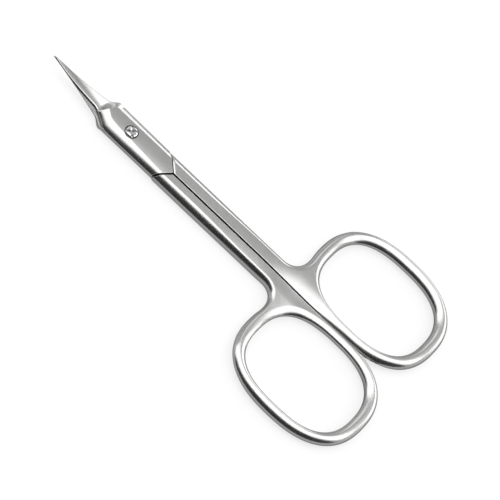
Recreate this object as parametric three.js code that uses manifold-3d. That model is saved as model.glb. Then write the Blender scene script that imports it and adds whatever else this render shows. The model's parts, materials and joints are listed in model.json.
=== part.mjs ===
// Toenail scissors, closed: two crossed steel halves that turn on one pivot screw.
// Millimetres. +Y runs from the finger rings to the blade tips and +Z is up from the table.
import * as THREE from 'three';
import { mergeVertices } from 'three/addons/utils/BufferGeometryUtils.js';
import Module from 'manifold-3d';

// Shanks, side by side when closed, and the gap between their flat inner faces.
const SHANK_PAIR_WIDTH = 7.3;
const SHANK_THICKNESS = 2.8;
const SEAM_GAP = 0.3;

// Joint plates, one on the other round the pivot, standing a little proud of the shanks.
const PLATE_WIDTH = 7.3;
const PLATE_PAIR_THICKNESS = 3.2;
const LAP_GAP = 0.12;

// The V-shaped shoulder behind the pivot, where plates meet shanks.
const SHOULDER_POINT = 12.5;
const SHOULDER_ANGLE = Math.PI / 4;
const SHOULDER_GAP = 0.3;
const GROOVE_DEPTH = 0.45;
const TONGUE_WIDTH = 1.6;
const TONGUE_INSET = 0.5;

// Finger rings, drawn as rounded ovals, with the width of the wire at their sides and ends.
const RING_BEHIND_PIVOT = 60.75;
const HOLE_WIDTH = 20.4;
const HOLE_LENGTH = 26.35;
const HOLE_SQUARENESS = 2.6;
const SIDE_WIRE = 2.75;
const END_WIRE = 2.95;
const RING_SQUARENESS = 2.4;
const GROUND_OFF_AT_SEAM = 0.57;
const CROTCH_FILLET = 3.65;
const CROTCH_JOIN_ANGLE = 80 * Math.PI / 180;
const ROUNDING_SHARE = 0.44;

// Blades, measured forward of the pivot and sideways from the centre line.
const BLADE_REACH = 22.6;
const BLADE_HEEL = 7.6;
const SPINE_NARROWING = 2.3;
const EDGE_NARROWING = 3.3;
const RAMP_LENGTH = 2.2;
const RAMP_SLANT = 0.6;
const SPINE_OFFSET = 2.02;
const EDGE_OFFSET = 0.92;
const BLADE_TAPER = 1.12;
const SPINE_THICKNESS = 1.2;
const SPINE_ROUNDING = 0.3;
const EDGE_THICKNESS = 0.1;
const BLADE_FULLNESS = 1.35;
const TIP_WIDTH = 0.24;
const TIP_THICKNESS = 0.2;
const SWEEP_START = 5.8;
const SWEEP_SLOPE = 0.172;
const SWEEP_EASE = 3.0;

// Pivot screw.
const HEAD_RADIUS = 1.4;
const HEAD_DEPTH = 0.75;
const HEAD_CROWN = 0.16;
const JOURNAL_RADIUS = 0.95;
const THREAD_RADIUS = 0.8;
const SCREW_CLEARANCE = 0.06;
const HEAD_CLEARANCE = 0.08;
const RECESS_SPAN = 2.0;
const RECESS_WIDTH = 0.42;
const RECESS_DEPTH = 0.4;
const RECESS_TURN = 0.75;

// Facets.
const ROUND_STEPS = 4;
const CROTCH_STEPS = 10;
const RING_STEPS = 72;
const HOLE_STEPS = 56;
const HEEL_STATIONS = 10;
const BLADE_STATIONS = 10;
const BORE_STEPS = 48;

// Sizes that follow from these.
const SHANK_SIDE = SHANK_PAIR_WIDTH / 2;
const PLATE_SIDE = PLATE_WIDTH / 2;
const PLATE_TOP = PLATE_PAIR_THICKNESS / 2;
const ROUNDING = ROUNDING_SHARE * SIDE_WIRE;
const RING_WIDTH = HOLE_WIDTH + 2 * SIDE_WIRE;
const RING_LENGTH = HOLE_LENGTH + 2 * END_WIRE;
const RING_OFFSET = RING_WIDTH / 2 + SEAM_GAP / 2 - GROUND_OFF_AT_SEAM;
const FAR = 4 * RING_BEHIND_PIVOT;

const { lerp } = THREE.MathUtils;

const wasm = await Module();
wasm.setup();

// A closed three.js geometry as a solid for adding and cutting.
function solid(geometry) {
  const bare = geometry.clone();
  bare.deleteAttribute('normal');
  bare.deleteAttribute('uv');
  const merged = mergeVertices(bare, 1e-5);
  return new wasm.Manifold(new wasm.Mesh({
    numProp: 3,
    vertProperties: merged.attributes.position.array,
    triVerts: new Uint32Array(merged.index.array),
  }));
}

// A finished solid as a three.js geometry.
function geometryOf(body) {
  const mesh = body.getMesh();
  const geometry = new THREE.BufferGeometry();
  geometry.setAttribute('position', new THREE.BufferAttribute(mesh.vertProperties, 3));
  geometry.setIndex(new THREE.BufferAttribute(mesh.triVerts, 1));
  geometry.computeVertexNormals();
  return geometry;
}

// 0 before one place, 1 after the other, and a smooth change between them.
function change(from, to, at) {
  return THREE.MathUtils.smoothstep(at, from, to);
}

// A point of a rounded oval: |x / a|^n + |y / b|^n = 1, round the ring's centre.
function ovalPoint(width, length, squareness, angle) {
  const c = Math.cos(angle);
  const s = Math.sin(angle);
  const x = Math.sign(c) * Math.abs(c) ** (2 / squareness) * width / 2;
  const y = Math.sign(s) * Math.abs(s) ** (2 / squareness) * length / 2;
  return new THREE.Vector2(x - RING_OFFSET, y - RING_BEHIND_PIVOT);
}

const ringPoint = (angle) => ovalPoint(RING_WIDTH, RING_LENGTH, RING_SQUARENESS, angle);
const holePoint = (angle) => ovalPoint(HOLE_WIDTH, HOLE_LENGTH, HOLE_SQUARENESS, angle);

// Outline of shank and ring in plan. It runs past the seam, where the flat is ground afterwards.
function handleShape() {
  const shape = new THREE.Shape();
  const far = ringPoint(-Math.PI / 2);
  const seamSide = ringPoint(0);
  const join = ringPoint(CROTCH_JOIN_ANGLE);
  const tangent = join.clone().sub(ringPoint(CROTCH_JOIN_ANGLE + 0.01)).normalize();
  const flare = RING_LENGTH / 2 - RING_BEHIND_PIVOT + CROTCH_FILLET;
  shape.moveTo(far.x, far.y);
  for (let i = 1; i <= RING_STEPS / 4; i += 1) {
    const p = ringPoint(-Math.PI / 2 + i * 2 * Math.PI / RING_STEPS);
    shape.lineTo(p.x, p.y);
  }
  shape.lineTo(seamSide.x, 0);
  shape.lineTo(-SHANK_SIDE, 0);
  shape.lineTo(-SHANK_SIDE, flare);
  shape.bezierCurveTo(
    -SHANK_SIDE, flare - 0.75 * CROTCH_FILLET,
    join.x + tangent.x * CROTCH_FILLET, join.y + tangent.y * CROTCH_FILLET,
    join.x, join.y,
  );
  const rest = 1.5 * Math.PI - CROTCH_JOIN_ANGLE;
  const steps = Math.round(rest / (2 * Math.PI) * RING_STEPS);
  for (let i = 1; i < steps; i += 1) {
    const p = ringPoint(CROTCH_JOIN_ANGLE + i * rest / steps);
    shape.lineTo(p.x, p.y);
  }
  shape.closePath();
  const turn = 2 * Math.PI / HOLE_STEPS;
  shape.holes.push(new THREE.Path(Array.from({ length: HOLE_STEPS }, (_, i) => holePoint(-i * turn))));
  return shape;
}

// Shank and ring with well-rounded edges.
function handleBlank() {
  const depth = SHANK_THICKNESS - 2 * ROUNDING;
  const blank = new THREE.ExtrudeGeometry(handleShape(), {
    depth,
    steps: 1,
    curveSegments: CROTCH_STEPS,
    bevelEnabled: true,
    bevelThickness: ROUNDING,
    bevelSize: ROUNDING,
    bevelOffset: -ROUNDING,
    bevelSegments: ROUND_STEPS,
  });
  return blank.translate(0, 0, -depth / 2);
}

// A plan outline raised from one height to another.
function prism(points, bottom, top) {
  const shape = new THREE.Shape(points.map(([x, y]) => new THREE.Vector2(x, y)));
  const body = new THREE.ExtrudeGeometry(shape, { depth: top - bottom, bevelEnabled: false });
  return body.translate(0, 0, bottom);
}

// Everything behind, or everything in front of, the V of the shoulder, less half the gap.
function shoulderCutter(behind) {
  const sign = behind ? -1 : 1;
  const point = -SHOULDER_POINT - sign * SHOULDER_GAP / 2 / Math.cos(SHOULDER_ANGLE);
  const arm = point + FAR * Math.tan(SHOULDER_ANGLE);
  const end = behind ? -FAR : 2 * FAR;
  return prism([[0, point], [FAR, arm], [FAR, end], [-FAR, end], [-FAR, arm]], -FAR, FAR);
}

// Height of the sliding face above the lap plane: flat behind the pivot, a shallow bowl in front.
function sweep(x, y) {
  const out = y < 0 ? 0 : Math.max(0, Math.hypot(x, y) - SWEEP_START);
  return SWEEP_SLOPE * (Math.hypot(out, SWEEP_EASE) - SWEEP_EASE);
}

// One section across joint plate or blade at a distance forward of the pivot.
// Its points go round from the sliding face to the spine, over the outer face and down to the edge.
function bladeSection(y, side) {
  const left = Math.min(1, (BLADE_REACH - y) / (BLADE_REACH - BLADE_HEEL));
  const share = 1 - left ** BLADE_TAPER;
  const bladeSpine = lerp(SPINE_OFFSET, TIP_WIDTH / 2, share);
  const bladeEdge = lerp(EDGE_OFFSET, TIP_WIDTH / 2, share);
  const bladeRound = lerp(SPINE_ROUNDING, TIP_WIDTH / 8, share);
  const bladeTop = lerp(SPINE_THICKNESS, TIP_THICKNESS, share);
  const spine = lerp(PLATE_SIDE, bladeSpine, change(BLADE_HEEL - SPINE_NARROWING, BLADE_HEEL, y));
  const edge = lerp(PLATE_SIDE, bladeEdge, change(BLADE_HEEL - EDGE_NARROWING, BLADE_HEEL, y));
  const plateTop = PLATE_TOP - LAP_GAP / 2;
  const plateWall = plateTop - ROUNDING;
  const ramp = (x) => change(BLADE_HEEL - RAMP_LENGTH, BLADE_HEEL, y + RAMP_SLANT * x);
  const atSpine = ramp(spine);
  const atEdge = ramp(-edge);
  const spineTop = lerp(plateTop, bladeTop, atSpine);
  const spineWall = lerp(plateWall, bladeTop - bladeRound, atSpine);
  const spineRound = lerp(ROUNDING, bladeRound, atSpine);
  const edgeTop = lerp(plateTop, bladeTop, atEdge);
  const edgeWall = lerp(plateWall, EDGE_THICKNESS, atEdge);
  const edgeRound = lerp(ROUNDING, bladeSpine + bladeEdge - 2 * bladeRound, atEdge);
  const power = 2 / lerp(2, BLADE_FULLNESS, atEdge);
  const arc = Array.from({ length: ROUND_STEPS + 1 }, (_, i) => i / ROUND_STEPS * Math.PI / 2);
  const face = [[-edge, 0], [(spine - edge) / 2, 0], [spine, 0]];
  const rise = arc.map((a) => [
    spine - spineRound * (1 - Math.cos(a)),
    spineWall + (spineTop - spineWall) * Math.sin(a),
  ]);
  const fall = arc.map((a) => [
    -edge + edgeRound * (1 - Math.max(0, Math.cos(a)) ** power),
    edgeWall + (edgeTop - edgeWall) * Math.sin(a) ** power,
  ]).reverse();
  return [...face, ...rise, ...fall].map(([x, z]) => (
    new THREE.Vector3(x, y, z + LAP_GAP / 2 + side * sweep(x, y))
  ));
}

// A closed body through a row of sections with equal numbers of points.
function loft(sections) {
  const count = sections[0].length;
  const index = [];
  for (let row = 0; row + 1 < sections.length; row += 1) {
    for (let i = 0; i < count; i += 1) {
      const a = row * count + i;
      const b = row * count + (i + 1) % count;
      index.push(a, b + count, b, a, a + count, b + count);
    }
  }
  const last = (sections.length - 1) * count;
  const flat = (section) => section.map((p) => new THREE.Vector2(p.x, p.z));
  for (const [a, b, c] of THREE.ShapeUtils.triangulateShape(flat(sections[0]), [])) {
    index.push(a, b, c);
  }
  for (const [a, b, c] of THREE.ShapeUtils.triangulateShape(flat(sections.at(-1)), [])) {
    index.push(last + a, last + c, last + b);
  }
  const geometry = new THREE.BufferGeometry().setFromPoints(sections.flat());
  geometry.setIndex(index);
  return geometry;
}

// Joint plate and blade in one piece. The plate runs on behind the shoulder, where it is cut.
function plateAndBlade(side) {
  const stations = [-SHOULDER_POINT - SHOULDER_GAP];
  const plateEnd = BLADE_HEEL - EDGE_NARROWING - RAMP_SLANT * SPINE_OFFSET;
  const heelEnd = BLADE_HEEL + RAMP_SLANT * PLATE_SIDE;
  for (let i = 0; i <= HEEL_STATIONS; i += 1) {
    stations.push(lerp(plateEnd, heelEnd, i / HEEL_STATIONS));
  }
  for (let i = 1; i <= BLADE_STATIONS; i += 1) {
    stations.push(lerp(heelEnd, BLADE_REACH, i / BLADE_STATIONS));
  }
  return loft(stations.map((y) => bladeSection(y, side)));
}

// The metal left under the groove, joining plate to shank.
function tongue() {
  const inner = SEAM_GAP / 2 + TONGUE_INSET;
  const outer = SHANK_SIDE - TONGUE_INSET;
  const middle = (inner + outer) / 2;
  const length = (outer - inner) / Math.cos(SHOULDER_ANGLE);
  const height = SHANK_THICKNESS / 2 - GROOVE_DEPTH - LAP_GAP;
  const box = new THREE.BoxGeometry(length, TONGUE_WIDTH, height);
  box.rotateZ(-SHOULDER_ANGLE);
  return box.translate(-middle, middle * Math.tan(SHOULDER_ANGLE) - SHOULDER_POINT, LAP_GAP + height / 2);
}

// A round bar or hole on the pivot axis.
function round(radius, bottom, top) {
  const body = new THREE.CylinderGeometry(radius, radius, top - bottom, BORE_STEPS);
  body.rotateX(Math.PI / 2);
  return body.translate(0, 0, (top + bottom) / 2);
}

// One half, with its joint plate above the lap plane and its ring on the -X side.
function half(side) {
  const beyondSeam = new THREE.BoxGeometry(FAR, 2 * FAR, FAR).translate(FAR / 2 - SEAM_GAP / 2, 0, 0);
  const handle = solid(handleBlank())
    .subtract(solid(beyondSeam))
    .subtract(solid(shoulderCutter(false)));
  const blade = solid(plateAndBlade(side)).subtract(solid(shoulderCutter(true)));
  return handle.add(blade).add(solid(tongue()));
}

// Screw hole of the upper half: running bore and counterbore for the head.
function upperHalf() {
  const bore = round(JOURNAL_RADIUS + SCREW_CLEARANCE, -FAR, FAR);
  const seat = round(HEAD_RADIUS + HEAD_CLEARANCE, PLATE_TOP - HEAD_DEPTH, FAR);
  return half(1).subtract(solid(bore)).subtract(solid(seat));
}

// Screw hole of the lower half: the threaded hole.
function lowerHalf() {
  return half(-1).subtract(solid(round(THREAD_RADIUS + SCREW_CLEARANCE, -FAR, FAR)));
}

// Screw with a low domed head, a plain journal and a thread that ends flush underneath.
function pivotScrew() {
  const seat = PLATE_TOP - HEAD_DEPTH + SCREW_CLEARANCE;
  const rim = PLATE_TOP - HEAD_CROWN;
  const profile = [
    [0, -PLATE_TOP],
    [THREAD_RADIUS, -PLATE_TOP],
    [THREAD_RADIUS, 0],
    [JOURNAL_RADIUS, 0],
    [JOURNAL_RADIUS, seat],
    [HEAD_RADIUS, seat],
    [HEAD_RADIUS, rim],
    [HEAD_RADIUS * 0.8, rim + HEAD_CROWN * 0.6],
    [HEAD_RADIUS * 0.4, rim + HEAD_CROWN * 0.95],
    [0, PLATE_TOP],
  ].map(([r, z]) => new THREE.Vector2(r, z));
  const body = new THREE.LatheGeometry(profile, BORE_STEPS);
  body.rotateX(Math.PI / 2);
  const slot = new THREE.BoxGeometry(RECESS_SPAN, RECESS_WIDTH, 2 * RECESS_DEPTH);
  const cross = new THREE.BoxGeometry(RECESS_WIDTH, RECESS_SPAN, 2 * RECESS_DEPTH);
  slot.rotateZ(RECESS_TURN).translate(0, 0, PLATE_TOP);
  cross.rotateZ(RECESS_TURN).translate(0, 0, PLATE_TOP);
  return solid(body).subtract(solid(slot)).subtract(solid(cross));
}

function piece(name, body, colour, roughness) {
  const material = new THREE.MeshStandardMaterial({ color: colour, metalness: 1, roughness });
  const mesh = new THREE.Mesh(geometryOf(body), material);
  mesh.name = name;
  return mesh;
}

const upper = piece('upper_half', upperHalf(), 0xc8cacc, 0.22);
const lower = piece('lower_half', lowerHalf(), 0xc8cacc, 0.22);
const screw = piece('pivot_screw', pivotScrew(), 0xbfc1c3, 0.28);
lower.rotation.y = Math.PI;

// The part lies on the table with its footprint centred on the origin.
const scissors = new THREE.Group();
scissors.name = 'scissors';
scissors.add(upper, lower, screw);
const extent = new THREE.Box3().setFromObject(scissors, true);
const middle = extent.getCenter(new THREE.Vector3());
scissors.position.set(-middle.x, -middle.y, -extent.min.z);

const group = new THREE.Group();
group.name = 'toenail_scissors';
group.add(scissors);

export default group;
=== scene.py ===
"""Closed toenail scissors on a pale table: two crossed steel halves and the screw they turn on.

Shapes are worked out in millimetres round the pivot and put into the row frame in metres. A side is
1 for the upper half or -1 for the lower, which is shaped the same way up and then turned over.
"""
import json
import math

import bmesh
import bpy
import numpy as np
from mathutils import Matrix


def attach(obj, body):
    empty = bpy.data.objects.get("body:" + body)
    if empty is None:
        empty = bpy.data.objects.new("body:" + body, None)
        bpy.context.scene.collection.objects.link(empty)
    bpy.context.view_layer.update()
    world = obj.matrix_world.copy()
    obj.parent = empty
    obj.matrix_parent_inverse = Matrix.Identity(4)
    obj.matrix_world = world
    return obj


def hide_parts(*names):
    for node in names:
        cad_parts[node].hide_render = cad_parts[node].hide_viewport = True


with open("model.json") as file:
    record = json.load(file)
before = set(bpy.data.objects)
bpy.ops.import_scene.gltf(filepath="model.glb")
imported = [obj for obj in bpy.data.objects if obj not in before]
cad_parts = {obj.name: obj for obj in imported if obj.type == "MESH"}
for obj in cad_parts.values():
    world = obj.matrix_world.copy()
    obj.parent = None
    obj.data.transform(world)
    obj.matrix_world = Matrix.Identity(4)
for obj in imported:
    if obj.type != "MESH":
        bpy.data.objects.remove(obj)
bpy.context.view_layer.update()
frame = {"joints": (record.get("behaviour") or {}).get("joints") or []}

MM = 0.001
PIVOT = np.array(frame["joints"][0]["pos_m"]) / MM

# Sizes in millimetres. An edge shape is (reach, depth, power), as sloped() takes it. A pair of
# places, along y if nothing else is said, is where something starts and where it is complete.

# Shanks and their neck, across the closed pair.
SHANK_SIDE = 3.65
SHANK_TOP = 1.4
SHANK_CROWN = 0.03
SHANK_SHOULDER = (1.6, 1.15, 1.37)
SHANK_UNDER = (0.7, 0.65, 2.0)
SHANK_END = -43.2  # end of the shank's grid at the seam
NECK = (-20.0, -36.0)
NECK_CROWN = 0.14
NECK_SHOULDER = (1.15, 1.1, 1.45)
MIDDLE = -0.27  # place of the seam across the pair
SEAM = 0.18  # half the gap between the shanks
SEAM_ROUNDING = 0.14
LEAST_HANDLE = 0.02

# V-shaped shoulder between plate and shank.
SHOULDER = 12.3
SHOULDER_SLOPES = (0.82, 1.0)
SHOULDER_GAP = 0.212
SHOULDER_ROUNDING = 0.06
SHOULDER_SQUARE = math.sqrt(0.5)  # way square to an arm of the V for a step along y
SHOULDER_CHAMFER = (0.32, 0.1)  # width and depth
TONGUE_RUN = (0.65, 2.5)
TONGUE_HALF_WIDTH = 0.8
TONGUE_HALF_HEIGHT = 0.3
TONGUE_MIDDLE = 0.42
TONGUE_SQUARENESS = 5
TONGUE_ROUNDING = 0.1

# Finger rings: an oval is (width, length, squareness), and the hole differs between the halves.
RING_CENTRE = np.array((-12.53, -60.75))
RING = (25.9, 32.25, 2.4)
HOLES = {1: (20.85, 26.35, 2.6), -1: (20.25, 26.35, 2.6)}
RING_START = (-38.0, -47.0)
WIRE_SHAPE = (1.3, 1.3, 1.85)
CREST_LEAN = (0.45, 0.6)  # change of reach at the outer edge and at the hole
CROTCH_FILLET = 3.65
CROTCH_PULL = 0.75
CROTCH_JOIN = math.radians(80)
CROTCH_STEP = 0.01  # turn over which the ring's direction is taken at the join
CROTCH_LENGTH = 5.0  # room on the grid for the first half of the crotch
OUTLINE_SIDE = (5.0, -25.0)  # straight side, from past the V to short of the crotch
OUTLINE_BEYOND = ((1.0, -54.0), (3.0, -45.0), (6.0, -40.0))

# Web at the hole: the hole's edge shape, fall to the seam, width of the fall, dip to the hole.
WEB = {1: ((1.4, 0.84, 1.6), 0.32, 3.2, 0.35), -1: ((1.35, 1.1, 1.7), 0.55, 5.0, 0.2)}
WEB_FALL = (-35.0, -53.0)
WEB_DIP = (-57.0, -48.0)
WEB_DIP_WIDTH = 7.5

# Joint plates.
PLATE_SIDE = 3.65
UNDER_PLATE_SIDE = 3.42
PLATE_TOP = 1.6
PLATE_CROWN = 0.22
PLATE_SHOULDER = (1.6, 0.96, 1.4)
PLATE_UNDER = (0.75, 0.7, 2.0)
LAP = 0.06  # half the gap between the sliding faces
SLIDING_RELIEF = 0.12
RELIEF_END = (6.0, 9.0)

# Blades, forward of the pivot.
REACH = 22.6
UPPER_SHORT = 0.5
HEEL = 7.6
HEEL_EASE = 0.8
HEEL_SHOULDER = (2.7, 1.1, 1.4)
HEEL_CHAMFER = (1.6, 0.6, 1.2)
HEEL_WIDENING = (-9.0, 8.0)
UNDER_WIDENING = (2.5, 8.0)
RAMP_START = 7.0
RAMP_LENGTH = 1.5
RAMP_SPREAD = 0.4
RAMP_SLANT = 0.6
SPINE_OFFSET = 2.2
SPINE_NARROWING = (5.5, 8.0)
SPINE_CHANGE = (5.5, 9.0)
SPINE_ROUNDING = 0.3
BLADE_ROUNDING = (0.6, 0.6, 2.0)
EDGE_OFFSET = 1.0
EDGE_NARROWING = (5.0, 9.7)
EDGE_RETREAT = 1.7
EDGE_CURVE = 3.5
EDGE_THICKNESS = 0.36
EDGE_FACETS = ((0.4, 0.36), (0.17, 0.8))  # width and slope of each
BLADE_TAPER = 1.12
HOLLOW = 7.5
HOLLOW_MIDDLE = (0.65, 1.2)  # from the edge, at the heel and farther out
HOLLOW_SHIFT = (0.05, 0.5)  # shares of the taper
TIP_WIDTH = 0.24
TIP_ROUNDING = TIP_WIDTH / 8
TIP_THINNING = 0.6
LEAST_BLADE = 0.05
SWEEP_START = 5.8
SWEEP_SLOPE = 0.172
SWEEP_EASE = 3.0

# Pivot screw and its holes.
HEAD_RADIUS = 1.42
HEAD_PROUD = 0.4
HEAD_CROWN = 0.1
HEAD_UNDERSIDE = 0.91
RIM_START = 1.0
RIM_ROUNDING = 0.45
RECESS_TURN = 0.75  # radians
RECESS_DEPTH = 0.6
RECESS_SIDE = (0.17, 0.3)  # off a groove's middle line
RECESS_SHALLOWING = (0.5, 1.2)  # off the axis, as the end
RECESS_LOSS = 0.4
RECESS_END = (1.15, 1.4)
JOURNAL_RADIUS = 0.95
THREAD_RADIUS = 0.8
THREAD_END = (0.7, -1.5)  # radius of the end face, height where the end's chamfer starts
SEAT_RADIUS = 1.57
SEAT_FLOOR = 0.79
BORE_RADIUS = 1.01
THREAD_BORE = 0.86
DRILL = 3  # the cutters reach this far above and below the lap

# Grids and meshes.
ACROSS_HANDLE = 44
ACROSS_BLADE = 64
AROUND_SCREW = 160
AROUND_CUTTER = 96
FINE_FRONT = 1.2  # close rows of the shank behind the V
SQUARE_ROWS = 2.0  # from here on the plate's rows lie square across
CLOSE_ROWS = 11.0  # end of the close rows at the heel
SHANK_ROWS = (14, 64, 18)  # behind the V, down the straight side, along the crotch
RIM_POINTS = (72, 721, 24)  # down the seam, round the oval, along the crotch
EVERY = 3  # of the points round the oval, the rim takes every third
BLADE_ROWS = (60, 150, 90)  # on the plate, at the heel, along the blade
OUTLINE_POINTS = (50, 220, 241)  # along the crotch, round the ring, round a hole
TONGUE_POINTS = (24, 41)  # along it, around it
HEAD_POINTS = (60, 24)  # across the dome, over the rim
BLOCK = 4000  # points measured in one go
WELD, SLIVER = 4e-7, 1e-7  # metres
CRISP = math.radians(35)
# Painted shade: steep faces, and the blades farther out, get a darker steel colour that stands in
# for the darker reflections there.
SHADE_TILT = (0.42, 0.78)  # upright part of a face's normal
BLADE_SHADE = 0.85
BLADE_SHADE_START = (9.0, 17.0)

# Steel.
GRIT_SCALE = (9000, 2600, 9000)
GRIT_DETAIL = 3.0
GRIT_HEIGHT = 0.00002
SMEAR_SCALE = 420.0
SMEAR_DETAIL = 2.0
TONE_GRIT, TONE_SMEAR = 0.35, 0.4
ROUGH_LESS, ROUGH_GRIT, ROUGH_SMEAR = 0.04, 0.05, 0.03
# DULL and BRIGHT bound the random tone of the grain; the last is the darker tone of the painted
# shade.
DULL, BRIGHT, PAINTED_SHADE_TONE = 0.93, 1.06, 0.62
EDGE_TINT = (0.28, 0.28, 0.28, 1)

# Stage, in metres.
TABLE_FLAT = 1.6
TABLE_BEND = 1.2
TABLE_ARC = math.radians(62)
TABLE_BELOW = 0.00002
TABLE_POINTS = (12, 24, 97)  # across the flat, up the arc, around
TABLE_GREY = (0.78, 0.78, 0.78, 1)
TABLE_GLOW = 0.72
FLAG_POINTS = 40
CLOTH = (0.03, 0.03, 0.03, 1)
WHITE = (1, 1, 1, 1)
SKY = 0.57
OVERHEAD_TURN = math.radians(12)
OVERHEAD_RIGHT, OVERHEAD_LEFT = 0.43, 0.40
OVERHEAD_BACK = 0.25

# Camera, fitted to the photograph: angles in degrees, lengths in millimetres or in picture pixels.
PICTURE = 500
SENSOR = 36.0
TILT, AZIMUTH, ROLL = 32.0, 4.349, 39.843
TARGET = np.array((0.0, -20.0, 1.5))
TARGET_PIXEL = np.array((293.105, 291.22))
DISTANCE = 580.98
FOCAL = 2807.4
CLIP = (0.01, 20.0)  # metres


def ease(start, end, at):
    """0 before start, 1 after end, and 3 s^2 - 2 s^3 between them."""
    s = np.clip((at - start) / (end - start), 0, 1)
    return s * s * (3 - 2 * s)


def between(a, b, share):
    """a at share 0, b at share 1, along a straight line."""
    return a + (b - a) * share


def mixed(first, second, share):
    """Two edge shapes blended number by number."""
    return tuple(between(a, b, share) for a, b in zip(first, second))


def unit(vector):
    """A vector at length 1."""
    return vector / np.linalg.norm(vector)


def sloped(distance, shape):
    """Drop d in from an edge: |1 - d / reach|^n + |1 - drop / depth|^n = 1, and 0 past reach."""
    reach, depth, power = shape
    left = 1 - np.clip(distance / reach, 0, 1)
    return depth * (1 - np.maximum(1 - left**power, 0) ** (1 / power))


def rounded(distance, radius):
    """Drop d in from a rounded edge: R - sqrt(R^2 - (R - d)^2), and 0 past R."""
    return sloped(distance, (radius, radius, 2.0))


def cosine_steps(count):
    """0 to 1 in count steps, close together at both ends: (1 - cos(pi k / count)) / 2."""
    return (1 - np.cos(np.linspace(0, math.pi, count + 1))) / 2


def soft_square(angle, squareness):
    """x and y of |x|^n + |y|^n = 1 at a parameter angle: cos and sin to the power 2 / n."""
    parts = np.cos(angle), np.sin(angle)
    return [np.sign(part) * np.abs(part) ** (2 / squareness) for part in parts]


def oval(size, angle):
    """Rounded oval round the ring's centre: |x / a|^n + |y / b|^n = 1 at a parameter angle."""
    width, length, squareness = size
    x, y = soft_square(angle, squareness)
    return np.stack([x * width / 2, y * length / 2], -1) + RING_CENTRE


def crotch(share):
    """Cubic from the side of the shank into the ring: sum of (3 over k) t^k (1 - t)^(3 - k) P_k."""
    join = oval(RING, np.array(CROTCH_JOIN))
    tangent = unit(join - oval(RING, np.array(CROTCH_JOIN + CROTCH_STEP)))
    flare = RING_CENTRE[1] + RING[1] / 2 + CROTCH_FILLET
    points = (
        np.array((-SHANK_SIDE, flare)),
        np.array((-SHANK_SIDE, flare - CROTCH_PULL * CROTCH_FILLET)),
        join + tangent * CROTCH_FILLET,
        join,
    )
    t = np.asarray(share)[:, None]
    weights = ((1 - t) ** 3, 3 * t * (1 - t) ** 2, 3 * t**2 * (1 - t), t**3)
    return sum(w * p for w, p in zip(weights, points))


def path_distance(points, path):
    """Shortest way from each plan point to a line of short straight pieces, over all pieces."""
    start, along = path[:-1], np.diff(path, axis=0)
    flat = points.reshape(-1, 2)
    blocks = []
    for block in np.array_split(flat, max(1, len(flat) // BLOCK)):
        to = block[:, None, :] - start
        share = np.clip((to * along).sum(-1) / (along * along).sum(-1), 0, 1)
        blocks.append(np.linalg.norm(to - share[..., None] * along, axis=-1).min(1))
    return np.concatenate(blocks).reshape(points.shape[:-1])


def handle_outline():
    """Outer edge of shank, crotch and ring, run on past the flat that is ground at the seam."""
    side = np.array([(-SHANK_SIDE, y) for y in OUTLINE_SIDE])
    bend = crotch(np.linspace(0, 1, OUTLINE_POINTS[0]))
    ring = oval(RING, np.linspace(CROTCH_JOIN, 2 * math.pi, OUTLINE_POINTS[1]))
    return np.concatenate([side, bend, ring[1:], OUTLINE_BEYOND])


OUTLINE = handle_outline()
HOLE_TURN = np.linspace(0, 2 * math.pi, OUTLINE_POINTS[2])
HOLE_EDGES = {side: oval(size, HOLE_TURN) for side, size in HOLES.items()}


def shoulder_line(x, side):
    """Plan line of the V in a half's own x: y = slope |x - middle| - SHOULDER, slopes by arm."""
    out = side * x - MIDDLE
    return np.where(out < 0, -out * SHOULDER_SLOPES[0], out * SHOULDER_SLOPES[1]) - SHOULDER


def handle_height(plan, shoulders, chamfer, side):
    """Height of shank, web and ring over mid thickness: the thickness less the drop at each edge.

    The shank has a shallow crown, z = top - crown (x / side)^2, and an outer shoulder that changes
    from the first shape to the second along the neck. Towards the ring each half falls to the seam
    and dips to the hole, both as a square of the nearness. The crest of the ring's wire leans to
    the right: on the right the outer edge's reach shrinks and the hole's grows, on the left the
    other way round.
    """
    x, y = plan[..., 0], plan[..., 1]
    seam = side * MIDDLE - SEAM - x
    hole = path_distance(plan, HOLE_EDGES[side])
    front = (shoulder_line(x, side) - SHOULDER_GAP - y) * SHOULDER_SQUARE
    neck, to_ring = ease(*NECK, y), ease(*RING_START, y)

    hole_shape, fall, fall_width, dip = WEB[side]
    out = plan - RING_CENTRE
    lean = side * out[..., 0] / np.hypot(out[..., 0], out[..., 1]) * to_ring
    wire_shape = (WIRE_SHAPE[0] - CREST_LEAN[0] * lean, *WIRE_SHAPE[1:])
    hole_shape = (hole_shape[0] + CREST_LEAN[1] * lean, *hole_shape[1:])
    outer_shape = mixed(mixed(*shoulders, neck), wire_shape, to_ring)

    crown = between(SHANK_CROWN, NECK_CROWN, neck) * (1 - to_ring)
    height = SHANK_TOP - crown * (x / SHANK_SIDE) ** 2
    height = height - sloped(path_distance(plan, OUTLINE), outer_shape)
    height = height - sloped(hole, hole_shape)
    height = height - rounded(seam, SEAM_ROUNDING)
    height = height - fall * ease(*WEB_FALL, y) * np.clip(1 - seam / fall_width, 0, 1) ** 2
    height = height - dip * ease(*WEB_DIP, y) * np.clip(1 - hole / WEB_DIP_WIDTH, 0, 1) ** 2
    height = height - chamfer * np.clip(1 - front / SHOULDER_CHAMFER[0], 0, 1)
    return np.maximum(height - rounded(front, SHOULDER_ROUNDING), LEAST_HANDLE)


def grid_faces(rows, cols, start, closed):
    """Four-cornered faces of a grid of points numbered row by row, the rows joined up if closed."""
    index = np.arange(rows * cols).reshape(rows, cols) + start
    following = np.roll(index, -1, axis=0)
    if not closed:
        index, following = index[:-1], following[:-1]
    corners = (index[:, :-1], following[:, :-1], following[:, 1:], index[:, 1:])
    return np.stack(corners, -1).reshape(-1, 4)


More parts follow.
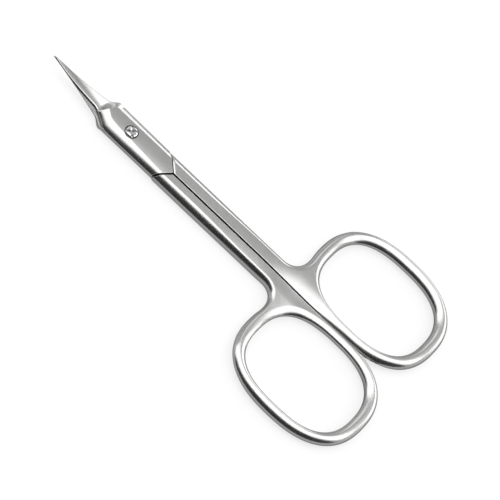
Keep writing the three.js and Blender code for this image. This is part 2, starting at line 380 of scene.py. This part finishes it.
def shell(patches):
    """Several grids of points as one list of points and faces. A patch is (points, closed)."""
    points, faces, start = [], [], 0
    for grid, closed in patches:
        rows, cols = grid.shape[:2]
        points.append(grid.reshape(-1, 3))
        faces.append(grid_faces(rows, cols, start, closed))
        start += rows * cols
    return np.concatenate(points), np.concatenate(faces)


def upright(x, y):
    """Plan points on a line along y."""
    return np.stack([np.full(y.shape, x), y], -1)


def shank_plan(side):
    """Plan grid of the shank: each row a straight line from the outer side to the seam.

    The outer ends run down the straight side and the first half of the crotch, and the seam ends
    run down the seam by the same shares.
    """
    near_rows, side_rows, bend_rows = SHANK_ROWS
    seam_x = side * MIDDLE - SEAM
    front, seam_front = shoulder_line(np.array((-SHANK_SIDE, seam_x)), side) - SHOULDER_GAP
    straight = front - crotch(np.zeros(1))[0, 1]
    near_front = between(0, FINE_FRONT, np.linspace(0, 1, near_rows) ** 2)
    down = np.concatenate([near_front, np.linspace(FINE_FRONT, straight, side_rows)[1:]])
    bend = crotch(np.linspace(0, 0.5, bend_rows))[1:]
    outer = np.concatenate([upright(-SHANK_SIDE, front - down), bend])
    share = np.concatenate([down, straight + np.linspace(0, CROTCH_LENGTH, bend_rows)[1:]])
    seam = upright(seam_x, between(seam_front, SHANK_END, share / (straight + CROTCH_LENGTH)))
    return between(outer[:, None, :], seam[:, None, :], cosine_steps(ACROSS_HANDLE)[None, :, None])


def ring_plan(side, neck):
    """Plan grid of web and ring: each row a straight line from the rim in to the hole.

    The rim runs along the shank's last row, down the seam, round the oval and up the crotch. A
    point of the hole, |x / a|^n + |y / b|^n = 1, lies between its rim point and the ring's centre.
    """
    seam_points, oval_points, bend_points = RIM_POINTS
    seam_x = side * MIDDLE - SEAM
    width, length, squareness = RING
    beside = abs((seam_x - RING_CENTRE[0]) / (width / 2))
    corner = length / 2 * (1 - beside**squareness) ** (1 / squareness)
    seam = upright(seam_x, np.linspace(neck[-1, 1], RING_CENTRE[1] - corner, seam_points)[1:])
    turn = np.linspace(CROTCH_JOIN, 2 * math.pi, oval_points)
    around = oval(RING, turn)
    around = around[~((around[:, 0] > seam_x) & (turn > math.pi))][::-1][::EVERY]
    bend = crotch(np.linspace(0.5, 1.0, bend_points))[::-1][:-1]
    rim = np.concatenate([neck, seam, around[:-1], bend])
    out = rim - RING_CENTRE
    *size, power = HOLES[side]
    reach = (np.abs(out * 2 / size) ** power).sum(1) ** (-1 / power)
    inner = RING_CENTRE + out * reach[:, None]
    return between(rim[:, None, :], inner[:, None, :], cosine_steps(ACROSS_HANDLE)[None, :, None])


def handle_patches(side):
    """Shank and ring: two sheets over one plan, above and below mid thickness, and walls between.

    Only the lower half has a chamfer behind the V, on the face that lies on top.
    """
    shank = shank_plan(side)
    ring = ring_plan(side, shank[-1])
    sheets = []
    for direction in (1, -1):
        on_top = direction == side
        shoulders = (SHANK_SHOULDER, NECK_SHOULDER) if on_top else (SHANK_UNDER, SHANK_UNDER)
        chamfer = SHOULDER_CHAMFER[1] if on_top and side < 0 else 0.0
        for plan in (shank, ring):
            height = direction * handle_height(plan, shoulders, chamfer, side)
            sheets.append(np.concatenate([plan, height[..., None]], -1))
    shank_up, ring_up, shank_down, ring_down = sheets
    walls = [(shank_up[cut], shank_down[cut]) for cut in (np.s_[0], np.s_[:, 0], np.s_[:, -1])]
    past_neck = np.r_[ACROSS_HANDLE:len(ring), 0]
    walls.append((ring_up[past_neck, 0], ring_down[past_neck, 0]))
    around_hole = np.r_[0:len(ring), 0]
    walls.append((ring_up[around_hole, -1], ring_down[around_hole, -1]))
    patches = [(shank_up, False), (shank_down, False), (ring_up, True), (ring_down, True)]
    return patches + [(np.stack(wall), False) for wall in walls]


def sweep(x, y):
    """Rise of the sliding face in front of the pivot: SLOPE (hypot(r - START, EASE) - EASE)."""
    out = np.where(y < 0, 0, np.maximum(0, np.hypot(x, y) - SWEEP_START))
    return SWEEP_SLOPE * (np.hypot(out, SWEEP_EASE) - SWEEP_EASE)


def blade_plan(side, plate_side, tip):
    """Plan grid of plate and blade: x, y, offsets of edge and spine, and share of the taper.

    The first rows spread from the V to a line square across, the others lie square across. The
    share is 1 - (way left to the tip / way from heel to tip)^TAPER.
    """
    plate_rows, heel_rows, tip_rows = BLADE_ROWS
    across = cosine_steps(ACROSS_BLADE)
    start = shoulder_line(between(-plate_side, plate_side, across), side) + SHOULDER_GAP
    rear = 1 - np.cos(np.linspace(0, math.pi / 2, plate_rows))
    heel = np.linspace(SQUARE_ROWS, CLOSE_ROWS, heel_rows)[1:]
    front = np.concatenate([heel, np.linspace(CLOSE_ROWS, tip, tip_rows)[1:]])
    y = np.concatenate([
        between(start[None, :], SQUARE_ROWS, rear[:, None]),
        np.repeat(front[:, None], len(across), 1),
    ])
    to_heel = np.minimum(1, (tip - y) / (tip - HEEL))
    share = 1 - to_heel**BLADE_TAPER
    blade_spine = between(SPINE_OFFSET, TIP_WIDTH / 2, share)
    spine = between(plate_side, blade_spine, ease(*SPINE_NARROWING, y))
    past = y - EDGE_NARROWING[0]
    past = (past + np.hypot(past, HEEL_EASE)) / 2
    retreat = 1 - (1 - np.clip(past / np.ptp(EDGE_NARROWING), 0, 1)) ** EDGE_RETREAT
    blade_edge = between(EDGE_OFFSET, TIP_WIDTH / 2, (1 - to_heel) ** EDGE_CURVE)
    edge = between(plate_side, blade_edge, retreat)
    return between(-edge, spine, across[None, :]), y, edge, spine, share


def blade_patches(side, plate_side, shoulder, tip):
    """Joint plate and blade: an outer face over a sliding face, both on one plan grid.

    The plate is z = top - crown (x / side)^2 less the drop at its edges, which widen to the heel.
    The hollow-ground blade is z = edge + d (d - 2 m) / (2 R) at a distance d from the edge, lowest
    at m, less slope (width - d) for each of two narrow facets. A slanted ramp, half straight and
    half eased, leads from one to the other, and both faces follow the sweep.
    """
    x, y, edge, spine, share = blade_plan(side, plate_side, tip)
    from_edge, from_spine = x + edge, spine - x
    from_shoulder = (y - shoulder_line(x, side) - SHOULDER_GAP) * SHOULDER_SQUARE

    first, last = HEEL_WIDENING if side > 0 else UNDER_WIDENING
    widening = np.clip((y - first) / (last - first), 0, 1)
    edge_shape = mixed(shoulder, HEEL_SHOULDER, widening)
    spine_shape = mixed(shoulder, HEEL_CHAMFER, widening) if side > 0 else shoulder
    spine_shape = mixed(spine_shape, BLADE_ROUNDING, ease(*SPINE_CHANGE, y))
    plate = PLATE_TOP - LAP - PLATE_CROWN * (x / plate_side) ** 2
    plate = plate - sloped(from_edge, edge_shape) - sloped(from_spine, spine_shape)
    plate = plate - rounded(from_shoulder, SHOULDER_ROUNDING)

    thin = between(1.0, TIP_THINNING, share)
    middle = between(*HOLLOW_MIDDLE, ease(*HOLLOW_SHIFT, share))
    blade = EDGE_THICKNESS * thin + from_edge * (from_edge - 2 * middle) / (2 * HOLLOW)
    for width, slope in EDGE_FACETS:
        blade = blade - slope * np.maximum(width * thin - from_edge, 0)
    blade = blade - rounded(from_spine, between(SPINE_ROUNDING, TIP_ROUNDING, share))

    slant = y + RAMP_SLANT * x
    ramp = np.clip((slant - RAMP_START) / (RAMP_LENGTH + RAMP_SPREAD * x), 0, 1)
    height = np.maximum(between(plate, blade, (ramp + ease(0, 1, ramp)) / 2), LEAST_BLADE)
    relief = rounded(np.minimum(from_edge, from_spine), SLIDING_RELIEF)
    relief = relief * (1 - ease(*RELIEF_END, y))
    base = LAP + side * sweep(x, y)
    outside = np.stack([x, y, base + height], -1)
    sliding = np.stack([x, y, base + relief], -1)
    patches = [(outside, False), (sliding, False)]
    for cut in (np.s_[0], np.s_[-1], np.s_[:, 0], np.s_[:, -1]):
        patches.append((np.stack([outside[cut], sliding[cut]]), False))
    return patches


def tongue_patches(side):
    """Metal left under the groove that joins plate to shank: a bar along one arm of the V.

    Its section is |u / wide|^n + |v / tall|^n = 1, drawn in to a point over a quarter circle at
    each end.
    """
    start, end = TONGUE_RUN
    along = np.linspace(start, end, TONGUE_POINTS[0])
    turn = np.linspace(0, 2 * math.pi, TONGUE_POINTS[1])
    wide, tall = soft_square(turn, TONGUE_SQUARENESS)
    from_end = np.minimum(along - start, end - along)
    fall = (1 - rounded(from_end, TONGUE_ROUNDING) / TONGUE_ROUNDING)[:, None]
    out = wide * TONGUE_HALF_WIDTH * SHOULDER_SQUARE * fall
    x = -along[:, None] - out
    y = shoulder_line(-along, side)[:, None] - out
    return [(np.stack([x, y, TONGUE_MIDDLE + tall * TONGUE_HALF_HEIGHT * fall], -1), False)]


def lathe_patches(profile, count):
    """A profile of (radius, height) points turned once round the pivot axis."""
    turn = np.linspace(0, 2 * math.pi, count + 1)[:, None]
    radius, height = np.array(profile, float).T[:, None, :]
    turned = np.broadcast_arrays(radius * np.cos(turn), radius * np.sin(turn), height)
    return [(np.stack(turned, -1), False)]


def screw_patches():
    """Screw: low dome z = top - crown r^2 / R^2 with a rounded rim, journal and thread below.

    The recess is a cross of two grooves, each a smooth fall across its width, shallower outwards.
    """
    turn = np.linspace(0, 2 * math.pi, AROUND_SCREW + 1)[:, None]
    rim_turn = np.linspace(0, math.pi / 2, HEAD_POINTS[1])[1:]
    rim_steps = between(RIM_START, HEAD_RADIUS, np.sin(rim_turn))
    radius = np.concatenate([np.linspace(0, RIM_START, HEAD_POINTS[0]), rim_steps])[None, :]
    dome = PLATE_TOP + HEAD_PROUD - HEAD_CROWN * (radius / HEAD_RADIUS) ** 2
    rim = rounded(HEAD_RADIUS - radius, RIM_ROUNDING)
    x, y = radius * np.cos(turn - RECESS_TURN), radius * np.sin(turn - RECESS_TURN)
    groove = 1 - np.minimum(ease(*RECESS_SIDE, np.abs(x)), ease(*RECESS_SIDE, np.abs(y)))
    depth = RECESS_DEPTH * (1 - RECESS_LOSS * ease(*RECESS_SHALLOWING, radius))
    depth = depth * (1 - ease(*RECESS_END, radius)) * groove
    top = np.stack([radius * np.cos(turn), radius * np.sin(turn), dome - rim - depth], -1)
    end_radius, end_start = THREAD_END
    below = [
        (HEAD_RADIUS, PLATE_TOP + HEAD_PROUD - HEAD_CROWN - RIM_ROUNDING),
        (HEAD_RADIUS, HEAD_UNDERSIDE),
        (JOURNAL_RADIUS, HEAD_UNDERSIDE),
        (JOURNAL_RADIUS, 0.0),
        (THREAD_RADIUS, 0.0),
        (THREAD_RADIUS, end_start),
        (end_radius, -PLATE_TOP),
        (0.0, -PLATE_TOP),
    ]
    return [(top, False)] + lathe_patches(below, AROUND_SCREW)


def mesh_of(name, patches, turned=False):
    """Grids of millimetre points round the pivot as a closed mesh in the row frame, faces outwards.

    A turned piece is rotated half a turn about the long axis: x and z change sign.
    """
    points, faces = shell(patches)
    if turned:
        points = points * (-1, 1, -1)
    mesh = bpy.data.meshes.new(name)
    mesh.from_pydata(((points + PIVOT) * MM).tolist(), [], faces.tolist())
    work = bmesh.new()
    work.from_mesh(mesh)
    bmesh.ops.remove_doubles(work, verts=work.verts, dist=WELD)
    bmesh.ops.dissolve_degenerate(work, edges=work.edges, dist=SLIVER)
    bmesh.ops.recalc_face_normals(work, faces=work.faces)
    work.to_mesh(mesh)
    work.free()
    return mesh


def thing(name, data):
    """An object at the origin that shows a mesh, a lamp or a camera."""
    made = bpy.data.objects.new(name, data)
    bpy.context.scene.collection.objects.link(made)
    return made


def drilled(mesh, cutter):
    """A mesh with the room of another taken out of it."""
    body, tool = thing("body", mesh), thing("tool", cutter)
    cut = body.modifiers.new("bore", "BOOLEAN")
    cut.operation, cut.solver, cut.object = "DIFFERENCE", "EXACT", tool
    bpy.context.view_layer.update()
    shown = body.evaluated_get(bpy.context.evaluated_depsgraph_get())
    made = bpy.data.meshes.new_from_object(shown)
    for left in (body, tool):
        bpy.data.objects.remove(left)
    return made


def joined(name, meshes):
    """Meshes as one object with smooth faces, its sharper edges left crisp.

    Each face gets a painted shade value, which darkens its steel colour: 1 where it stands steep,
    and at least a fixed share out on the blades.
    """
    work = bmesh.new()
    for mesh in meshes:
        work.from_mesh(mesh)
    whole = bpy.data.meshes.new(name)
    work.to_mesh(whole)
    work.free()
    count = len(whole.polygons)
    whole.polygons.foreach_set("use_smooth", np.ones(count, bool))
    whole.set_sharp_from_angle(angle=CRISP)
    normals, centres = np.zeros((2, count * 3), np.float32)
    whole.polygons.foreach_get("normal", normals)
    whole.polygons.foreach_get("center", centres)
    # Painted shade: steep faces and the outer blades are marked for a darker steel colour.
    steep = 1 - ease(*SHADE_TILT, np.abs(normals[2::3]))
    on_blade = BLADE_SHADE * ease(*BLADE_SHADE_START, centres[1::3] / MM - PIVOT[1])
    layer = whole.attributes.new("painted_shade", "FLOAT", "FACE")
    layer.data.foreach_set("value", np.maximum(steep, on_blade).astype(np.float32))
    return thing(name, whole)


def forging(name, side, plate, cutter):
    """One half of the scissors: drilled plate with its blade, handle and tongue."""
    turned = side < 0
    bored = drilled(
        mesh_of(f"{name}_plate", plate, turned),
        mesh_of(f"{name}_cutter", lathe_patches(cutter, AROUND_CUTTER)),
    )
    handle = mesh_of(f"{name}_handle", handle_patches(side), turned)
    tongue = mesh_of(f"{name}_tongue", tongue_patches(side), turned)
    return joined(name, [bored, handle, tongue])


class Shade:
    """A socket of a node tree. + and * with it add Math nodes, and node() adds any other node."""

    def __init__(self, tree, socket=None):
        self.tree, self.socket = tree, socket

    def node(self, kind, settings=None, sockets=None, out=0):
        made = self.tree.nodes.new(kind)
        for key, value in (settings or {}).items():
            setattr(made, key, value)
        for key, value in (sockets or {}).items():
            if isinstance(value, Shade):
                self.tree.links.new(value.socket, made.inputs[key])
            else:
                made.inputs[key].default_value = value
        return Shade(self.tree, made.outputs[out] if made.outputs else None)

    def __add__(self, other):
        return self.node("ShaderNodeMath", {"operation": "ADD"}, {0: self, 1: other})

    def __mul__(self, other):
        return self.node("ShaderNodeMath", {"operation": "MULTIPLY"}, {0: self, 1: other})

    __radd__, __rmul__ = __add__, __mul__


def empty_net(owner):
    """The cleared node tree of a material or a world, ready for nodes."""
    owner.use_nodes = True
    owner.node_tree.nodes.clear()
    return Shade(owner.node_tree)


def steel(name, colour, roughness, grain):
    """Polished steel: a bright metal with fine grinding grain across it and faint smears.

    Painted shade darkens the colour of steep faces and of the blades farther out, by each face's
    painted shade value, and the edge tint darkens grazing angles.
    """
    material = bpy.data.materials.new(name)
    net = empty_net(material)
    # The third tone is the darker colour of the painted shade.
    dull, bright, dark = (
        tuple(min(1, c * level) for c in colour) + (1,) for level in (DULL, BRIGHT, PAINTED_SHADE_TONE))
    place = net.node("ShaderNodeTexCoord", out=3)
    fine = net.node("ShaderNodeMapping", sockets={"Vector": place, "Scale": GRIT_SCALE})
    grit = net.node("ShaderNodeTexNoise", sockets={
        "Vector": fine, "Scale": 1.0, "Detail": GRIT_DETAIL})
    smear = net.node("ShaderNodeTexNoise", sockets={
        "Vector": place, "Scale": SMEAR_SCALE, "Detail": SMEAR_DETAIL})
    bump = net.node("ShaderNodeBump", sockets={
        "Height": grit, "Strength": grain, "Distance": GRIT_HEIGHT})
    tone = net.node("ShaderNodeMix", {"data_type": "RGBA"}, {
        0: TONE_GRIT * grit + TONE_SMEAR * smear, 6: dull, 7: bright}, out=2)
    # Painted shade: the colour goes towards the darker tone by the face's painted shade value.
    painted_shade = net.node("ShaderNodeAttribute", {"attribute_name": "painted_shade"}, out=2)
    tone = net.node("ShaderNodeMix", {"data_type": "RGBA"}, {0: painted_shade, 6: tone, 7: dark}, out=2)
    surface = net.node("ShaderNodeBsdfPrincipled", sockets={
        "Base Color": tone,
        "Metallic": 1.0,
        "Specular Tint": EDGE_TINT,
        "Roughness": roughness - ROUGH_LESS + ROUGH_GRIT * grit + ROUGH_SMEAR * smear,
        "Normal": bump,
    })
    net.node("ShaderNodeOutputMaterial", sockets={"Surface": surface})
    return material


def dress(piece, material, body, node):
    """Gives a piece its finish and its CAD body, and hides the CAD node that it stands for."""
    piece.data.materials.clear()
    piece.data.materials.append(material)
    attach(piece, body)
    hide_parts(node)


def stage_mesh(name, points):
    """One grid of points in metres as a mesh."""
    vertices, faces = shell([(points, False)])
    mesh = bpy.data.meshes.new(name)
    mesh.from_pydata(vertices.tolist(), [], faces.tolist())
    return mesh


def stage_floor():
    """Table that curves up far out: z = 0, then a circle's arc, turned round the upright axis.

    What the camera sees of it, straight or in the steel, is partly a white glow, so that it stays
    pale and keeps a soft shadow.
    """
    flat_points, arc_points, turn_points = TABLE_POINTS
    turn = np.linspace(0, 2 * math.pi, turn_points)[:, None]
    arc = np.linspace(0, TABLE_ARC, arc_points)[1:]
    flat = np.linspace(0, TABLE_FLAT, flat_points)
    radius = np.concatenate([flat, TABLE_FLAT + TABLE_BEND * np.sin(arc)])[None, :]
    height = np.concatenate([0 * flat, TABLE_BEND * (1 - np.cos(arc))])[None, :] - TABLE_BELOW
    grid = np.broadcast_arrays(radius * np.cos(turn), radius * np.sin(turn), height)
    mesh = stage_mesh("table", np.stack(grid, -1))
    mesh.polygons.foreach_set("use_smooth", np.ones(len(mesh.polygons), bool))
    material = bpy.data.materials.new("pale_table")
    net = empty_net(material)
    path = net.node("ShaderNodeLightPath").socket.node
    rays = ("Is Camera Ray", "Is Glossy Ray", "Is Transmission Ray")
    camera, glossy, through = (Shade(net.tree, path.outputs[ray]) for ray in rays)
    seen = net.node("ShaderNodeMath", {"operation": "MINIMUM"}, {
        0: camera + glossy + through, 1: 1.0})
    plain = net.node("ShaderNodeBsdfDiffuse", sockets={"Color": TABLE_GREY})
    white = net.node("ShaderNodeEmission", sockets={"Color": WHITE, "Strength": 1.0})
    surface = net.node("ShaderNodeMixShader", sockets={0: TABLE_GLOW * seen, 1: plain, 2: white})
    net.node("ShaderNodeOutputMaterial", sockets={"Surface": surface})
    mesh.materials.append(material)
    table = thing("table", mesh)


def dark_flag(name, angles, distance, heights):
    """A black screen standing round the object: an upright cylinder between two angles."""
    turn = np.radians(np.linspace(*angles, FLAG_POINTS))[:, None]
    x, y = distance * np.cos(turn), distance * np.sin(turn)
    mesh = stage_mesh(name, np.stack(np.broadcast_arrays(x, y, np.array([heights])), -1))
    material = bpy.data.materials.new("black_cloth")
    net = empty_net(material)
    cloth = net.node("ShaderNodeBsdfDiffuse", sockets={"Color": CLOTH})
    net.node("ShaderNodeOutputMaterial", sockets={"Surface": cloth})
    mesh.materials.append(material)
    flag = thing(name, mesh)
    flag.visible_camera = False
    flag.visible_diffuse = False


def pale_world(level):
    """Even pale light from all round."""
    world = bpy.data.worlds.new("studio")
    net = empty_net(world)
    sky = net.node("ShaderNodeBackground", sockets={"Color": WHITE, "Strength": level})
    net.node("ShaderNodeOutputWorld", sockets={"Surface": sky})
    bpy.context.scene.world = world


def posed(right, up, back, place):
    """World matrix of an object from the directions of its axes and its place."""
    matrix = np.eye(4)
    matrix[:3] = np.stack([right, up, back, place], 1)
    return Matrix(matrix.tolist())


def soft_light(name, place, aim, roll, size, radiance):
    """A rectangular lamp that looks at a point. Its power is radiance times pi times its area."""
    data = bpy.data.lights.new(name, "AREA")
    data.shape, data.size, data.size_y = "RECTANGLE", size[0], size[1]
    data.energy = radiance * math.pi * size[0] * size[1]
    back = unit(np.array(place, float) - aim)
    side = np.array((math.cos(roll), math.sin(roll), 0.0))
    side = unit(side - back * side.dot(back))
    lamp = thing(name, data)
    lamp.matrix_world = posed(side, np.cross(back, side), back, place)
    lamp.visible_camera = False


def photo_camera():
    """Camera at the photograph's place, tilted from upright and rolled about its line of sight.

    It looks past the target by as much as puts the target on its own pixel of the photograph.
    """
    tilt, azimuth, roll = np.radians((TILT, AZIMUTH, ROLL))
    flat = math.sin(tilt)
    out = np.array((-flat * math.cos(azimuth), -flat * math.sin(azimuth), math.cos(tilt)))
    level = unit(np.cross(-out, (0, 0, 1)))
    upward = np.cross(level, -out)
    right = math.cos(roll) * level + math.sin(roll) * upward
    up = -math.sin(roll) * level + math.cos(roll) * upward
    off = ((PICTURE - 1) / 2 - TARGET_PIXEL) / FOCAL
    look = unit(-out + right * off[0] - up * off[1])
    right = unit(right - look * right.dot(look))
    data = bpy.data.cameras.new("photo_camera")
    data.sensor_width, data.sensor_fit = SENSOR, "HORIZONTAL"
    data.lens = FOCAL * SENSOR / PICTURE
    data.clip_start, data.clip_end = CLIP
    camera = thing("photo_camera", data)
    camera.matrix_world = posed(right, np.cross(right, look), -look, (TARGET + out * DISTANCE) * MM)
    bpy.context.scene.camera = camera


seat = [
    (0, -DRILL), (BORE_RADIUS, -DRILL), (BORE_RADIUS, SEAT_FLOOR),
    (SEAT_RADIUS, SEAT_FLOOR), (SEAT_RADIUS, DRILL), (0, DRILL),
]
bore = [(0, -DRILL), (THREAD_BORE, -DRILL), (THREAD_BORE, DRILL), (0, DRILL)]
upper_plate = blade_patches(1, PLATE_SIDE, PLATE_SHOULDER, REACH - UPPER_SHORT)
lower_plate = blade_patches(-1, UNDER_PLATE_SIDE, PLATE_UNDER, REACH)
upper = forging("upper_half_forging", 1, upper_plate, seat)
lower = forging("lower_half_forging", -1, lower_plate, bore)
screw = joined("pivot_screw_turned", [mesh_of("screw", screw_patches())])

polished = steel("polished_steel", colour=(0.50, 0.50, 0.495), roughness=0.24, grain=0.2)
turned = steel("turned_screw_steel", colour=(0.68, 0.68, 0.68), roughness=0.12, grain=0.08)
dress(upper, polished, "upper", "upper_half")
dress(lower, polished, "lower", "lower_half")
dress(screw, turned, "lower", "pivot_screw")

stage_floor()
pale_world(SKY)
across = np.array((math.cos(OVERHEAD_TURN), math.sin(OVERHEAD_TURN)))
along = np.array((math.sin(OVERHEAD_TURN), -math.cos(OVERHEAD_TURN)))
overhead = across * (OVERHEAD_RIGHT - OVERHEAD_LEFT) / 2 - along * OVERHEAD_BACK
soft_light(
    "overhead_softbox", place=(*overhead, 1.0), aim=(*overhead, 0), roll=OVERHEAD_TURN,
    size=(OVERHEAD_RIGHT + OVERHEAD_LEFT, 4.5), radiance=1.88)
soft_light(
    "side_softbox", place=(1.3, 0.025, 0.42), aim=(0, 0.025, 0.42), roll=math.radians(90),
    size=(0.45, 0.84), radiance=2.1)
soft_light(
    "tail_softbox", place=(1.3, -1.15, 0.75), aim=(0, -1.15, 0.75), roll=math.radians(90),
    size=(2.0, 1.5), radiance=1.88)
soft_light(
    "head_softbox", place=(0.79, 0.855, 0.94), aim=(0, 0, 0), roll=math.radians(137),
    size=(0.7, 0.4), radiance=1.0)
dark_flag("dark_flag", angles=(112, 258), distance=0.95, heights=(0.05, 1.9))
dark_flag("low_flag", angles=(-40, 85), distance=1.0, heights=(0.0, 0.07))
photo_camera()
bpy.context.scene.view_settings.view_transform = "Standard"
